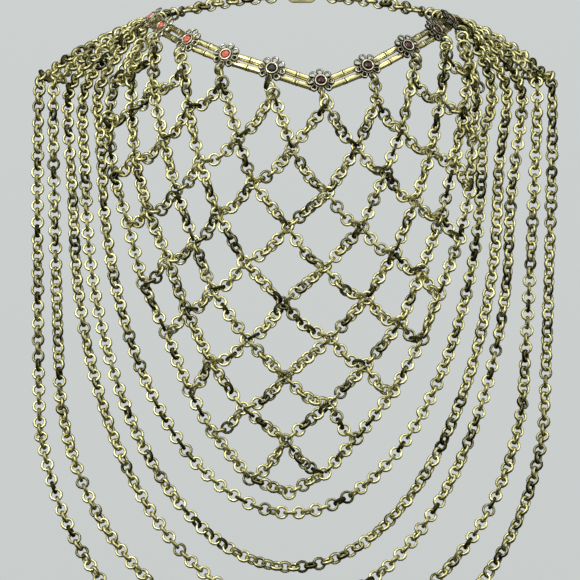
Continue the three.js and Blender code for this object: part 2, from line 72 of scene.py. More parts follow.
# Collar, as the frame has it: millimetres and radians.
COLLAR_MIDDLE = (1, 4)
COLLAR_HALF_WIDTH = 74
COLLAR_FRONT_REACH = 70
COLLAR_BACK_REACH = 58
BACK_RISE = 13
BACK_START = 86 * DEGREE
FRONT_LEAN = 27 * DEGREE
SIDE_LEAN = 42 * DEGREE
FLOWER_STEP = 18.7 * DEGREE
LOWEST_FLOWER = 5
LOWEST_FLOWER_ANGLE = 7.1 * DEGREE
FLOWER_HEIGHTS = [-0.5, -5, -12, -19.5, -26.4, -32.6, -25, -15, -7, -1.5]
FLOWERS = len(FLOWER_HEIGHTS)
FLOWER_PITCH = 25
ROW_OFFSET = 2.2
ROWS = {"upper": 1, "lower": -1}

# Flower spacer
PETALS = 8
PETAL_ORBIT = 5.05
PETAL_RADIUS = 1.6
PETAL_BACK = 1.9
PETAL_THICKNESS = 0.8
PETAL_FRONT = PETAL_BACK + PETAL_THICKNESS
BACK_RADIUS = 4.0
BACK_DEPTH = -1.5
GROMMET_REACH = 3.2
GROMMET_RADIUS = 1.2
BAR_START = 4.4
BAR_BORE = 0.8
SETTING_HEIGHT = 1.3
SETTING_RADIUS = 3.1
SEAT_RADIUS = 2.05
GRAINS = 30
GRAIN_ORBIT = 3.62
GRAIN_RADIUS = 0.38
THREAD_HOLE = 0.75
THREAD_RADIUS = 0.38
THREAD_END = 2.4
PALEST_FLOWER = 0.5
PALENESS_STEP = 0.1

# Cut stones: rings of points as radius, height over the seat, points and turn
STONE_SEAT = 3.3
STONE_RINGS = [
    (0.85, 1.15, 8, 0),
    (1.35, 0.92, 8, 0.5),
    (1.8, 0.5, 16, 0),
    (1.8, 0.35, 16, 0),
    (0.4, 0.0, 8, 0),
]
STONES = [
    {
        "up_to": 4,
        "name": "orange_glass",
        "slot": "orange_stone",
        "colour": (0.72, 0.17, 0.10),
        "deep": (0.50, 0.04, 0.025),
    },
    {
        "up_to": 5,
        "name": "smoky_glass",
        "slot": "garnet_stone",
        "colour": (0.035, 0.033, 0.038),
        "deep": (0.008, 0.007, 0.009),
    },
    {
        "up_to": FLOWERS,
        "name": "garnet_glass",
        "slot": "garnet_stone",
        "colour": (0.055, 0.003, 0.004),
        "deep": (0.006, 0.0005, 0.001),
    },
]

# End rods
ROD_RADIUS = 1.0
ROD_FIRST_DRAPE = 96.5 * DEGREE
ROD_DRAPE_STEP = 5.9 * DEGREE
ROD_END = 125 * DEGREE
ROD_BENDS = (92, 98, 105, 112, 119)
EYE_RADIUS = 2.0
EYE_WIRE = 0.8
EYE_SIDES = 10
EYE_WEAR = 0.3
GAP = 0.3

# Clasp
CLASP_LENGTH = 15
CLASP_HOLE_INSET = 3
CLASP_ROUNDING = 0.3
BACK_CHAIN_END = 176 * DEGREE
BACK_CHAIN_STEPS = 8

# The form that the net lies in: half-ellipses across, one for each height.
BIB_MIDDLE_Y = 4
BIB_HEIGHT = [-10, -29, -47, -77, -110, -160, -210, -260]
BIB_HALF_WIDTH = [82, 97, 105, 119, 130, 140, 145, 146]
BIB_REACH = [69, 75, 79.5, 86, 94, 107, 116, 118]

# The ways that links look: the net's, the drapes' and the drapes' on their level top
BIB_ROUNDNESS = 300
BIB_UPTURN = 0.25
DRAPE_SIDE_TURN = 0.35
DRAPE_FORWARD = 60
DRAPE_UPTURN = 12
TOP_UPTURN = 60
TOP_FRONT_Y = -30
TOP_DEPTH = 60

# Junctions of the net, a row of the table for each row of the net. first is the column that
# the row starts at: whole columns hang below the flowers, half columns between them.
JUNCTIONS = [
    {
        "first": 0,
        "x": [-80, -72.5, -58, -39, -13.5, 13.5, 38.5, 56.5, 73.5, 82.5],
        "z": [-13, -14, -25, -32, -37.5, -43, -41, -29, -18, -13.5],
    },
    {
        "first": 0.5,
        "x": [-85, -74, -56, -31, -4, 29, 51, 70.5, 85],
        "z": [-24, -34, -44, -60, -65.5, -64.5, -55, -39.5, -25],
    },
    {
        "first": 0,
        "x": [-93, -84.5, -68.5, -50.5, -24, 14, 43, 66, 82.5, 89.5],
        "z": [-31, -45, -60.5, -71.5, -82.5, -87.5, -77, -66, -44, -34],
    },
    {
        "first": 0.5,
        "x": [-96.5, -83, -62, -41.5, -6, 31, 58, 78, 86.5],
        "z": [-49, -69, -86, -97.5, -104.5, -104.5, -91, -68, -61],
    },
    {
        "first": 1,
        "x": [-94, -76.5, -53, -28, 12.5, 47.5, 71, 85],
        "z": [-77, -96, -112, -122, -125, -117, -98, -87],
    },
    {
        "first": 1.5,
        "x": [-86.5, -66.5, -44, -8.5, 33.5, 61, 80],
        "z": [-102, -119.5, -136, -142.5, -140, -126, -110],
    },
    {
        "first": 2,
        "x": [-78.5, -57.5, -26.5, 15.5, 50.5, 69.5],
        "z": [-132.5, -145, -161, -160, -152, -138],
    },
    {
        "first": 2.5,
        "x": [-67, -45, -7.5, 33, 61],
        "z": [-157, -171.5, -179.5, -173.5, -160.5],
    },
    {"first": 3, "x": [-55.5, -28.5, 15, 46.5], "z": [-186, -195, -192.5, -186.5]},
    {"first": 3.5, "x": [-44, -7, 28], "z": [-206.5, -211, -210]},
    {"first": 4, "x": [-25, 12], "z": [-230, -227.5]},
]
NET_TIP = (-5.5, -237)
MIDDLE_COLUMN = 4.5
SLACK = {"middle": 3.5, "side": 6.5}
STEEPEST_SLACK = 0.35

# How a chain lies. A link reaches LINK_OVERLAP into the next one. Turns are in degrees,
# tilts are shares of a link's length.
LINK_OVERLAP = 1.4
LINK_TURN_SPREAD = 9
LINK_TILT_SPREAD = 0.09
JOINT_TILT_SPREAD = 0.28
SWAY_TURN = 2.2
SWAY_LINKS = 14
SWAY_MOST_LINKS = 20

# Least and most tarnish of a link
DARK_TARNISH = (0.45, 0.9)
CLEAN_TARNISH = (0.0, 0.2)
CLASP_TARNISH = 0.3

# Drapes: half-ellipses that swing to the front from a level run on top. The two runs
# are the innermost and the outermost, as left x, right x, y and z.
DRAPES = [
    {"half_width": 96, "bottom": -247, "swing": 187},
    {"half_width": 104, "bottom": -274, "swing": 200},
    {"half_width": 110, "bottom": -294, "swing": 205},
    {"half_width": 117, "bottom": -310, "swing": 140},
    {"half_width": 127, "bottom": -330, "swing": 145},
]
DRAPE_X = -4
DRAPE_FRONT = -118
DRAPE_SIDE = (-38, -46)
INNER_RUN = [
    (-82, 84, 9.5, -4),
    (-88.5, 89, 3, -13),
    (-94.5, 93, -6, -22),
    (-99.5, 96, -15, -31),
    (-102, 96.5, -25, -43),
]
OUTER_RUN = [
    (-84, 86, 33, -2.5),
    (-99, 100, 29, -9.5),
    (-114, 112, 21, -17.5),
    (-126, 122, 4, -28),
    (-131.5, 127, -17, -44),
]
SWING_STEPS = 7

# Stage, in metres
FLOOR_DROP = 0.03
FLOOR_SIZE = 2.5
FLAG_SIZE = 1.6
FLAG_LIFT = 0.01
FLAG_BEHIND = 0.1
LAMP_TARGET = (0, -0.05, -0.14)
LAMPS = [
    {"name": "key", "place": (-0.75, -1.1, 0.75), "size": 0.7, "power": 10},
    {"name": "fill", "place": (1.1, -0.9, 0.25), "size": 0.5, "power": 2},
    {"name": "top", "place": (0.1, -0.1, 1.2), "size": 0.8, "power": 3},
]

# Camera: the picture is 290 mm wide where the net lies.
VIEW_WIDTH = 290
VIEW_CENTRE = (-5, -136)
VIEW_PLANE_Y = -75
CAMERA_DISTANCE = 10000
SENSOR = 36


class ChainSizes(bpy.types.PropertyGroup):
    """Sizes and age of the cable chain."""

    link_radius: bpy.props.FloatProperty(
        name="Link Radius",
        description="Radius of a link, to the middle of its wire",
        default=2.85 * MM,
        unit="LENGTH",
    )
    junction_radius: bpy.props.FloatProperty(
        name="Junction Radius",
        description="Radius of the link where four strands of the net meet",
        default=3.1 * MM,
        unit="LENGTH",
    )
    wire_width: bpy.props.FloatProperty(
        name="Wire Width",
        description="Thickness of the wire, from the inside of a link to its outside",
        default=1.4 * MM,
        unit="LENGTH",
    )
    wire_depth: bpy.props.FloatProperty(
        name="Wire Depth",
        description="Thickness of the wire, from the front of a link to its back",
        default=1.6 * MM,
        unit="LENGTH",
    )
    link_steps: bpy.props.IntProperty(
        name="Link Steps",
        description="Straight pieces that make the round of a link",
        default=12,
    )
    dark_share: bpy.props.FloatProperty(
        name="Dark Share",
        description="Share of the links that have gone dark",
        default=0.25,
        subtype="FACTOR",
        min=0,
        max=1,
    )
    bright: bpy.props.FloatVectorProperty(
        name="Bright Brass",
        description="Colour of a clean link",
        default=(0.93, 0.87, 0.43),
        subtype="COLOR",
        size=3,
    )
    # Also the colour that the painted shade on the ring walls darkens towards.
    dark: bpy.props.FloatVectorProperty(
        name="Dark Brass",
        description="Colour of a tarnished link",
        default=(0.03, 0.027, 0.007),
        subtype="COLOR",
        size=3,
    )


class CollarSizes(bpy.types.PropertyGroup):
    """Sizes and colours of the bars, flowers and stones."""

    bar_radius: bpy.props.FloatProperty(
        name="Bar Radius",
        description="Radius of a bamboo bar between its knuckles",
        default=1.58 * MM,
        unit="LENGTH",
    )
    petal_wire: bpy.props.FloatProperty(
        name="Petal Wire",
        description="Thickness of the wire that each petal is bent from",
        default=1.0 * MM,
        unit="LENGTH",
    )
    bar_brass: bpy.props.FloatVectorProperty(
        name="Bar Brass",
        description="Colour of the bars",
        default=(0.95, 0.86, 0.42),
        subtype="COLOR",
        size=3,
    )
    flower_metal: bpy.props.FloatVectorProperty(
        name="Flower Metal",
        description="Colour of the oxidised flowers",
        default=(0.02, 0.018, 0.014),
        subtype="COLOR",
        size=3,
    )
    # The pale colour of rubbed edges, and of the painted highlight on the petals' front ridges.
    rubbed_and_sheen_metal: bpy.props.FloatVectorProperty(
        name="Rubbed Metal",
        description="Colour of a flower where its edges are rubbed",
        default=(0.80, 0.74, 0.52),
        subtype="COLOR",
        size=3,
    )
    thread: bpy.props.FloatVectorProperty(
        name="Thread",
        description="Colour of the waxed stringing thread",
        default=(0.2, 0.07, 0.035),
        subtype="COLOR",
        size=3,
    )


def collar_point(angle, height):
    """A point of the collar's oval: angle 0 is its front, 180 degrees its back."""
    reach = COLLAR_FRONT_REACH if math.cos(angle) > 0 else COLLAR_BACK_REACH
    x = COLLAR_MIDDLE[0] + COLLAR_HALF_WIDTH * math.sin(angle)
    return Vector((x, COLLAR_MIDDLE[1] - reach * math.cos(angle), height))


def back_point(side, angle):
    """The back of the collar rises from its ends to its middle."""
    share = (angle - BACK_START) / (math.pi - BACK_START)
    return collar_point(side * angle, BACK_RISE * math.sin(share * math.pi / 2) ** 2)


def flower_frame(index):
    """A flower's own frame: its centre, and the ways across, up and out."""
    angle = LOWEST_FLOWER_ANGLE + (index - LOWEST_FLOWER) * FLOWER_STEP
    centre = collar_point(angle, FLOWER_HEIGHTS[index])
    before = max(index - 1, 0)
    after = min(index + 1, FLOWERS - 1)
    if after - before == 2:
        ends = [LOWEST_FLOWER_ANGLE + (i - LOWEST_FLOWER) * FLOWER_STEP for i in (before, after)]
        across = collar_point(ends[1], 0) - collar_point(ends[0], 0)
    else:
        x, y = math.cos(angle) * COLLAR_HALF_WIDTH, math.sin(angle) * COLLAR_FRONT_REACH
        across = Vector((x, y, 0))
    across.normalize()
    level = Vector((across.y, -across.x, 0))
    rise = FLOWER_HEIGHTS[after] - FLOWER_HEIGHTS[before]
    across.z = rise / ((after - before) * FLOWER_PITCH)
    across.normalize()
    lean = FRONT_LEAN + (SIDE_LEAN - FRONT_LEAN) * math.sin(angle) ** 2
    out = level * math.cos(lean) + Vector((0, 0, math.sin(lean)))
    up = out.cross(across).normalized()
    return centre, across, up, across.cross(up)


def on_flower(index, across, up, out):
    """A place in a flower's frame, as a point of the necklace."""
    centre, x, y, z = flower_frame(index)
    return centre + x * across + y * up + z * out


def flower_matrix(index):
    """The placing of a flower that is modelled in metres in its own frame."""
    centre, x, y, z = flower_frame(index)
    place = Matrix((x, y, z)).transposed().to_4x4()
    place.translation = centre * MM
    return place


def bib_point(x, z):
    """A point of the net's form, at a place across and a height."""
    half_width = np.interp(-z, [-h for h in BIB_HEIGHT], BIB_HALF_WIDTH)
    reach = np.interp(-z, [-h for h in BIB_HEIGHT], BIB_REACH)
    across = min(abs(x) / half_width, 1)
    return Vector((x, BIB_MIDDLE_Y - reach * math.sqrt(1 - across * across), z))


def bib_normal(point):
    """The way that the net's links look: mostly forwards, a little aside and up."""
    return Vector((point.x / BIB_ROUNDNESS, -1, BIB_UPTURN)).normalized()


def outward(point):
    """The way that a drape's links look: forwards, and upwards where it runs level on top."""
    on_top = min(max((point.y - TOP_FRONT_Y) / TOP_DEPTH, 0), 1)
    up = DRAPE_UPTURN + TOP_UPTURN * on_top
    return Vector((point.x * DRAPE_SIDE_TURN, -DRAPE_FORWARD, up)).normalized()


def has_junction(row, column):
    if row >= len(JUNCTIONS):
        return False
    place = column - JUNCTIONS[row]["first"]
    return 0 <= place < len(JUNCTIONS[row]["x"])


def junction(row, column):
    place = int(column - JUNCTIONS[row]["first"])
    return bib_point(JUNCTIONS[row]["x"][place], JUNCTIONS[row]["z"][place])


def net_strands():
    """The strands of the net, each as its two ends and the sag of its middle."""
    strands = []
    for row, line in enumerate(JUNCTIONS):
        for place in range(len(line["x"])):
            column = line["first"] + place
            for turn in (-0.5, 0.5):
                if not has_junction(row + 1, column + turn):
                    continue
                start = junction(row, column)
                end = junction(row + 1, column + turn)
                aside = abs(column - MIDDLE_COLUMN) / MIDDLE_COLUMN
                slack = SLACK["middle"] + (SLACK["side"] - SLACK["middle"]) * aside
                outwards = (column + turn / 2 - MIDDLE_COLUMN) * turn > 0
                sag = min(slack, STEEPEST_SLACK * abs(end.x - start.x)) if outwards else 0
                strands.append((start, end, sag))
    for column in (0, FLOWERS - 1):
        strands.append((junction(0, column), junction(2, column), 0))
    last = len(JUNCTIONS) - 1
    tip = bib_point(*NET_TIP)
    for place in (0, 1):
        strands.append((junction(last, JUNCTIONS[last]["first"] + place), tip, 0))
    return strands


def smooth_path(points, steps):
    """Points of a smooth curve through the given ones."""
    padded = [points[0] * 2 - points[1], *points, points[-1] * 2 - points[-2]]
    path = []
    for before, start, end, after in zip(padded, padded[1:], padded[2:], padded[3:]):
        for step in range(steps):
            t = step / steps
            path.append(
                start
                + (end - before) * (0.5 * t)
                + (before * 2 - start * 5 + end * 4 - after) * (0.5 * t * t)
                + (start * 3 - before - end * 3 + after) * (0.5 * t * t * t)
            )
    return [*path, points[-1]]


def along(path, count):
    """Count + 1 places spread evenly along a path, each as a point and the way onwards."""
    line = np.array(path)
    lengths = np.concatenate([[0], np.cumsum(np.linalg.norm(np.diff(line, axis=0), axis=1))])
    stops = np.linspace(0, lengths[-1], count + 1)
    reach = lengths[-1] / count * 0.5
    places = []
    for stop in stops:
        spots = [np.clip(stop + shift, 0, lengths[-1]) for shift in (-reach, 0, reach)]
        back, here, ahead = ([np.interp(s, lengths, line[:, k]) for k in range(3)] for s in spots)
        places.append((Vector(here), (Vector(ahead) - Vector(back)).normalized()))
    return places


def path_length(path):
    return sum((b - a).length for a, b in zip(path, path[1:]))


def ring_pose(centre, onward, axis):
    """Where a ring stands: its centre, its axis, and the way that the chain runs over it."""
    axis = axis.normalized()
    onward = (onward - axis * onward.dot(axis)).normalized()
    return centre, onward, axis


def chain_between(path, normal_at, chance, start_turn=0.0, end_turn=0.0):
    """Poses of the links between the rings at the two ends of a path, each turned a quarter
    against the one before, with the small disorder of a chain that lies as it fell."""
    pitch = 2 * bpy.context.scene.necklace_chain.link_radius / MM - LINK_OVERLAP
    spaces = max(math.ceil(path_length(path) / pitch), 1)
    quarter = 90 * DEGREE
    left_over = (end_turn - start_turn - spaces * quarter) % math.pi
    if left_over > quarter:
        left_over -= math.pi
    wander = chance.uniform(-1, 1)
    poses = []
    for i, (point, onward) in enumerate(along(path, spaces)):
        if i in (0, spaces):
            continue
        share = i / spaces
        waves = share * math.pi * max(spaces / SWAY_LINKS, 1)
        sway = wander * math.sin(waves) * min(spaces, SWAY_MOST_LINKS) * SWAY_TURN
        loose = (sway + chance.gauss(0, LINK_TURN_SPREAD)) * DEGREE
        turn = start_turn + i * quarter + left_over * share + loose
        normal = normal_at(point)
        normal = (normal - onward * normal.dot(onward)).normalized()
        axis = Quaternion(onward, turn) @ normal
        tilt = Vector([chance.gauss(0, LINK_TILT_SPREAD) for _ in range(3)])
        poses.append(ring_pose(point, onward + tilt, axis))
    return poses


def ring_template(radius, width, depth, steps):
    """A ring of flat-sided wire round the origin: vertices, faces, and the painted shade of each
    vertex, on the outer and inner walls.
    """
    section = [(-0.5, 0), (-0.3, -0.5), (0.3, -0.5), (0.5, 0), (0.3, 0.5), (-0.3, 0.5)]
    bm = bmesh.new()
    corners = [bm.verts.new((radius + across * width, 0, up * depth)) for across, up in section]
    edges = [bm.edges.new((a, b)) for a, b in zip(corners, corners[1:] + corners[:1])]
    bmesh.ops.spin(
        bm,
        geom=corners + edges,
        cent=(0, 0, 0),
        axis=(0, 0, 1),
        angle=2 * math.pi,
        steps=steps,
        use_merge=True,
    )
    bmesh.ops.recalc_face_normals(bm, faces=bm.faces)
    bm.verts.ensure_lookup_table()
    points = np.array([v.co for v in bm.verts])
    faces = np.array([[v.index for v in f.verts] for f in bm.faces])
    bm.free()
    # Painted shade: full on the outer wall, 0.8 on the inner wall, none on the front and back
    # faces.
    outside = (np.hypot(points[:, 0], points[:, 1]) - radius) / (0.5 * width)
    painted_shade = np.where(outside > 0.9, 1.0, np.where(outside < -0.9, 0.8, 0.0))
    return points, faces, painted_shade


def plain_link(sizes):
    return ring_template(sizes.link_radius, sizes.wire_width, sizes.wire_depth, sizes.link_steps)


def chain_object(name, groups, chance):
    """One mesh of many rings. Each group is a ring's template and the poses that it takes."""
    share = bpy.context.scene.necklace_chain.dark_share
    points, faces, painted_shades, tarnishes = [], [], [], []
    start = 0
    for (shape, polygons, painted_shade), poses in groups:
        for centre, onward, axis in poses:
            turn = np.array((onward, axis.cross(onward), axis))
            points.append(shape @ turn + np.array(centre) * MM)
            faces.append(polygons + start)
            painted_shades.append(painted_shade)
            dark = chance.random() < share
            tarnish = chance.uniform(*(DARK_TARNISH if dark else CLEAN_TARNISH))
            tarnishes.append(np.full(len(shape), tarnish))
            start += len(shape)
    mesh = bpy.data.meshes.new(name)
    mesh.from_pydata(np.concatenate(points), [], np.concatenate(faces).tolist())
    # The painted shade on the ring walls and the tarnish of each link, as attributes.
    for layer, values in (("painted_shade", painted_shades), ("tarnish", tarnishes)):
        attribute = mesh.attributes.new(layer, "FLOAT", "POINT")
        attribute.data.foreach_set("value", np.concatenate(values))
    mesh.polygons.foreach_set("use_smooth", [True] * len(mesh.polygons))
    return linked(name, mesh)


def linked(name, mesh):
    made = bpy.data.objects.new(name, mesh)
    bpy.context.scene.collection.objects.link(made)
    return made


def bmesh_object(name, bm, material, smooth_angle=40):
    """Finishes a bmesh as a named object at the origin."""
    bmesh.ops.recalc_face_normals(bm, faces=bm.faces)
    mesh = bpy.data.meshes.new(name)
    bm.to_mesh(mesh)
    bm.free()
    mesh.materials.append(material)
    mesh.polygons.foreach_set("use_smooth", [True] * len(mesh.polygons))
    mesh.set_sharp_from_angle(angle=smooth_angle * DEGREE)
    return linked(name, mesh)


def settle(piece, slot, *nodes):
    """Puts a piece on the body in place of its nodes of the frame. The slot is not used."""
    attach(piece, "root")
    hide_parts(*nodes)


def turned(bm, layer, profile, steps, matrix=None, closed=False):
    """Spins a profile of (radius, height, value on the layer) round Z and places it."""
    before = set(bm.verts)
    corners = []
    for radius, height, value in profile:
        corners.append(bm.verts.new((radius * MM, 0, height * MM)))
        corners[-1][layer] = value
    pairs = list(zip(corners, corners[1:]))
    if closed:
        pairs.append((corners[-1], corners[0]))
    edges = [bm.edges.new(pair) for pair in pairs]
    bmesh.ops.spin(
        bm,
        geom=corners + edges,
        cent=(0, 0, 0),
        axis=(0, 0, 1),
        angle=2 * math.pi,
        steps=steps,
        use_merge=True,
    )
    made = [v for v in bm.verts if v not in before]
    bmesh.ops.remove_doubles(bm, verts=made, dist=0.002 * MM)
    made = [v for v in bm.verts if v not in before]
    if matrix:
        bmesh.ops.transform(bm, matrix=matrix, verts=made)
    return made


def swept(bm, points, radius, sides):
    """A round rod along a list of points in millimetres, closed at both ends."""
    curve = bpy.data.curves.new("rod", "CURVE")
    curve.dimensions = "3D"
    curve.bevel_depth = radius * MM
    curve.bevel_resolution = sides // 4
    curve.use_fill_caps = True
    spline = curve.splines.new("POLY")
    spline.points.add(len(points) - 1)
    for spot, point in zip(spline.points, points):
        spot.co = (*(point * MM), 1)
    holder = linked("rod", curve)
    mesh = bpy.data.meshes.new_from_object(holder)
    bm.from_mesh(mesh)
    bpy.data.objects.remove(holder)
    bpy.data.meshes.remove(mesh)
    bpy.data.curves.remove(curve)


# Materials


def new_material(name):
    material = bpy.data.materials.new(name)
    material.use_nodes = True
    tree = material.node_tree
    return material, tree, tree.nodes["Principled BSDF"]


def node(tree, kind, **settings):
    made = tree.nodes.new(kind)
    for key, value in settings.items():
        setattr(made, key, value)
    return made


def noise(tree, scale, detail=3.0, roughness=0.55):
    """Noise on the piece's own object coordinates."""
    coordinates = node(tree, "ShaderNodeTexCoord")
    texture = node(tree, "ShaderNodeTexNoise")
    texture.inputs["Scale"].default_value = scale
    texture.inputs["Detail"].default_value = detail
    texture.inputs["Roughness"].default_value = roughness
    tree.links.new(coordinates.outputs["Object"], texture.inputs["Vector"])
    return texture.outputs["Fac"]


def arithmetic(tree, operation, first, second):
    made = node(tree, "ShaderNodeMath", operation=operation, use_clamp=True)
    for socket, value in zip(made.inputs, (first, second)):
        if isinstance(value, (int, float)):
            socket.default_value = value
        else:
            tree.links.new(value, socket)
    return made.outputs[0]


def spread(tree, value, low, high, to_low, to_high):
    made = node(tree, "ShaderNodeMapRange")
    ends = {"From Min": low, "From Max": high, "To Min": to_low, "To Max": to_high}
    for key, number in ends.items():
        made.inputs[key].default_value = number
    tree.links.new(value, made.inputs["Value"])
    return made.outputs["Result"]


def blended(tree, factor, first, second):
    """A mix of two colours, each a tuple or a socket."""
    made = node(tree, "ShaderNodeMix", data_type="RGBA")
    tree.links.new(factor, made.inputs[0])
    for socket, value in zip(made.inputs[6:8], (first, second)):
        if isinstance(value, tuple):
            socket.default_value = (*value, 1)
        else:
            tree.links.new(value, socket)
    return made.outputs[2]


def bumped(tree, shader, height, strength, distance):
    made = node(tree, "ShaderNodeBump")
    made.inputs["Strength"].default_value = strength
    made.inputs["Distance"].default_value = distance
    tree.links.new(height, made.inputs["Height"])
    tree.links.new(made.outputs["Normal"], shader.inputs["Normal"])


def chain_material():
    """Aged brass: each link has its own tarnish, and painted shade darkens the walls of each
    ring.
    """
    sizes = bpy.context.scene.necklace_chain
    material, tree, shader = new_material("aged_and_shaded_chain_brass")
    tarnish = node(tree, "ShaderNodeAttribute", attribute_name="tarnish").outputs["Fac"]
    painted_shade = node(tree, "ShaderNodeAttribute", attribute_name="painted_shade").outputs["Fac"]
    patches = noise(tree, 420, 4)
    mottled = arithmetic(tree, "ADD", tarnish, spread(tree, patches, 0.35, 0.7, -0.12, 0.2))
    # Painted shade on the ring walls, added to the tarnish.
    deep = arithmetic(tree, "MULTIPLY", painted_shade, 0.78)
    tarnish_and_shade = arithmetic(tree, "ADD", mottled, deep)
    colour = blended(tree, tarnish_and_shade, tuple(sizes.bright), tuple(sizes.dark))
    tree.links.new(colour, shader.inputs["Base Color"])
    rough = spread(tree, tarnish_and_shade, 0, 1, 0.34, 0.44)
    tree.links.new(rough, shader.inputs["Roughness"])
    shader.inputs["Metallic"].default_value = 1.0
    bumped(tree, shader, noise(tree, 1500, 2), 0.25, 0.08 * MM)
    return material


def bar_material():
    """Bright yellow brass with darker patches, and painted shade in its grooves and at its ends.
    """
    sizes = bpy.context.scene.necklace_collar
    material, tree, shader = new_material("bamboo_bar_brass")
    painted_shade = node(tree, "ShaderNodeAttribute", attribute_name="painted_shade").outputs["Fac"]
    # Painted shade in the grooves and at the ends, with random darker patches.
    shade_and_patches = arithmetic(tree, "ADD", painted_shade, spread(tree, noise(tree, 520, 4), 0.45, 0.75, 0, 0.4))
    colour = blended(tree, shade_and_patches, tuple(sizes.bar_brass), (0.05, 0.035, 0.012))
    tree.links.new(colour, shader.inputs["Base Color"])
    tree.links.new(spread(tree, shade_and_patches, 0, 1, 0.22, 0.55), shader.inputs["Roughness"])
    shader.inputs["Metallic"].default_value = 1.0
    bumped(tree, shader, noise(tree, 1600, 2), 0.2, 0.04 * MM)
    return material


def flower_material():
    """Oxidised metal with paler, rubbed edges, and along each petal's front ridge also a painted
    highlight.
    """
    sizes = bpy.context.scene.necklace_collar
    material, tree, shader = new_material("dark_flower_metal")
    wear_and_sheen = node(tree, "ShaderNodeAttribute", attribute_name="wear_and_sheen").outputs["Fac"]
    patches = spread(tree, noise(tree, 700, 4), 0.4, 0.75, -0.15, 0.25)
    # Rubbed wear, and along the petals' front ridges a painted highlight.
    rubbed_and_sheen = arithmetic(tree, "ADD", wear_and_sheen, patches)
    colour = blended(tree, rubbed_and_sheen, tuple(sizes.flower_metal), tuple(sizes.rubbed_and_sheen_metal))
    tree.links.new(colour, shader.inputs["Base Color"])
    tree.links.new(spread(tree, rubbed_and_sheen, 0, 1, 0.4, 0.22), shader.inputs["Roughness"])
    shader.inputs["Metallic"].default_value = 1.0
    bumped(tree, shader, noise(tree, 1300, 3), 0.35, 0.1 * MM)
    return material


def stone_material(kind):
    """Cut glass, deeper in patches."""
    material, tree, shader = new_material(kind["name"])
    patches = spread(tree, noise(tree, 900, 3), 0.35, 0.65, 0, 1)
    shades = blended(tree, patches, kind["colour"], kind["deep"])
    tree.links.new(shades, shader.inputs["Base Color"])
    shader.inputs["Roughness"].default_value = 0.07
    shader.inputs["IOR"].default_value = 1.6
    return material


def thread_material():
    material, tree, shader = new_material("waxed_thread")
    colour = tuple(bpy.context.scene.necklace_collar.thread)
    shades = blended(tree, noise(tree, 1800, 3), colour, tuple(c * 0.4 for c in colour))
    tree.links.new(shades, shader.inputs["Base Color"])
    shader.inputs["Roughness"].default_value = 0.7
    bumped(tree, shader, noise(tree, 2500, 2), 0.5, 0.1 * MM)
    return material


def paper_material():
    material, tree, shader = new_material("pale_paper")
    shades = blended(tree, noise(tree, 2.0, 2), (0.60, 0.625, 0.625), (0.575, 0.60, 0.60))
    tree.links.new(shades, shader.inputs["Base Color"])
    shader.inputs["Roughness"].default_value = 0.9
    return material


def card_material():
    """The card that darkens the undersides of the metal."""
    material, tree, shader = new_material("dark_card")
    shades = blended(tree, noise(tree, 3.0, 2), (0.03, 0.03, 0.025), (0.045, 0.045, 0.04))
    tree.links.new(shades, shader.inputs["Base Color"])
    shader.inputs["Roughness"].default_value = 1.0
    return material


def shared(name, make, *values):
    """A material that is made once."""
    return bpy.data.materials.get(name) or make(*values)


# Operators


